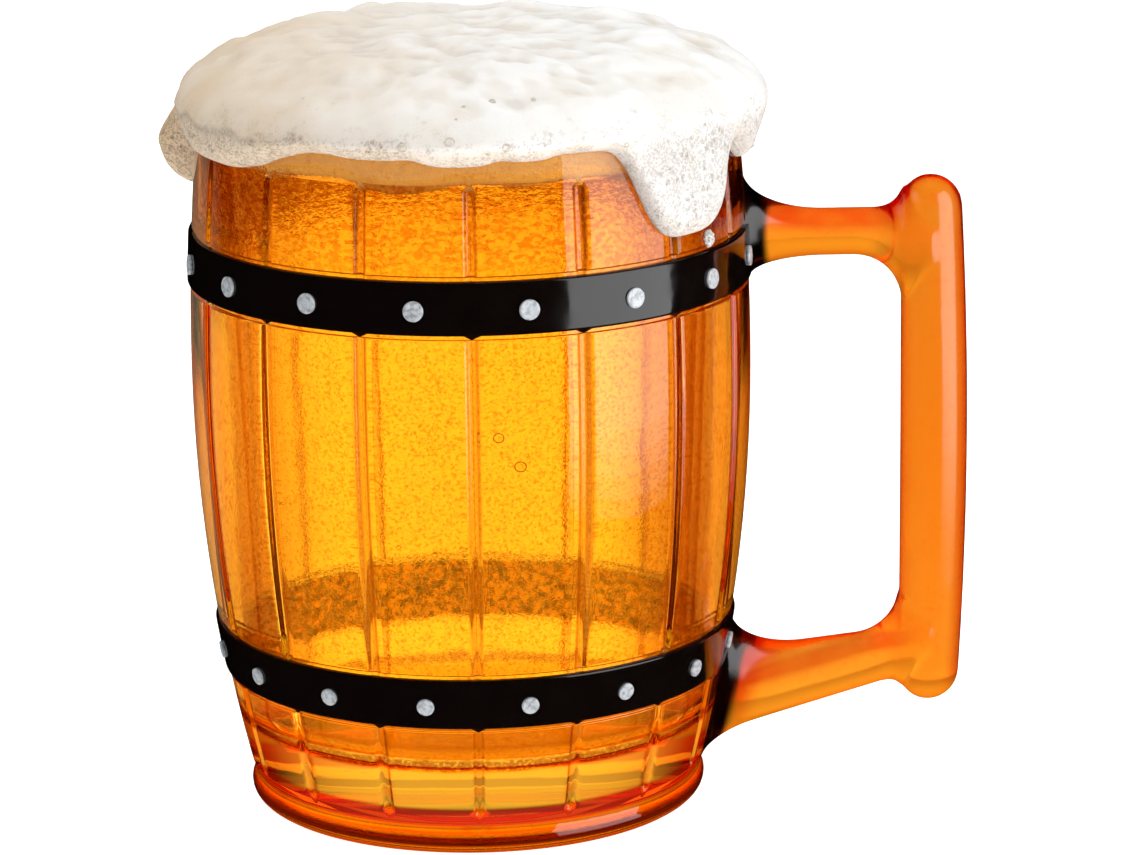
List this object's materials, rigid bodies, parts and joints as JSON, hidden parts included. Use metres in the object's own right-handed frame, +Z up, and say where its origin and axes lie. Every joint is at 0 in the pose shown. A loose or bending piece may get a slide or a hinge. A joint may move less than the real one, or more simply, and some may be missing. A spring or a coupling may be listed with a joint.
{
  "type": "glass mug",
  "caption": "Amber glass beer mug pressed as a coopered barrel, with black riveted hoops and a side handle, poured full of beer with a foam head that spills over the rim.",
  "frame": {"origin": "on the barrel's axis, in the plane of the flat base that the mug stands on", "axes": "+Z up along the barrel's axis, +X from the barrel towards the handle, -Y towards the viewer of the picture"},
  "size_m": [0.1504, 0.1074, 0.1463],
  "materials": {
    "amber_glass": "gloss",
    "hoop_enamel": "gloss",
    "rivet_metal": "satin",
    "beer": "gloss",
    "foam": "matte"
  },
  "bodies": {
    "root": {"barrel": "amber_glass", "handle": "amber_glass", "upper_hoop": "hoop_enamel", "lower_hoop": "hoop_enamel", "upper_rivet_01": "rivet_metal", "upper_rivet_02": "rivet_metal", "upper_rivet_03": "rivet_metal", "upper_rivet_04": "rivet_metal", "upper_rivet_05": "rivet_metal", "upper_rivet_06": "rivet_metal", "upper_rivet_07": "rivet_metal", "upper_rivet_08": "rivet_metal", "upper_rivet_09": "rivet_metal", "upper_rivet_10": "rivet_metal", "upper_rivet_11": "rivet_metal", "upper_rivet_12": "rivet_metal", "upper_rivet_13": "rivet_metal", "upper_rivet_14": "rivet_metal", "upper_rivet_15": "rivet_metal", "upper_rivet_16": "rivet_metal", "lower_rivet_01": "rivet_metal", "lower_rivet_02": "rivet_metal", "lower_rivet_03": "rivet_metal", "lower_rivet_04": "rivet_metal", "lower_rivet_05": "rivet_metal", "lower_rivet_06": "rivet_metal", "lower_rivet_07": "rivet_metal", "lower_rivet_08": "rivet_metal", "lower_rivet_09": "rivet_metal", "lower_rivet_10": "rivet_metal", "lower_rivet_11": "rivet_metal", "lower_rivet_12": "rivet_metal", "lower_rivet_13": "rivet_metal", "lower_rivet_14": "rivet_metal", "lower_rivet_15": "rivet_metal", "lower_rivet_16": "rivet_metal", "beer": "beer", "foam_head": "foam", "foam_fleck": "foam"}
  },
  "joints": []
}
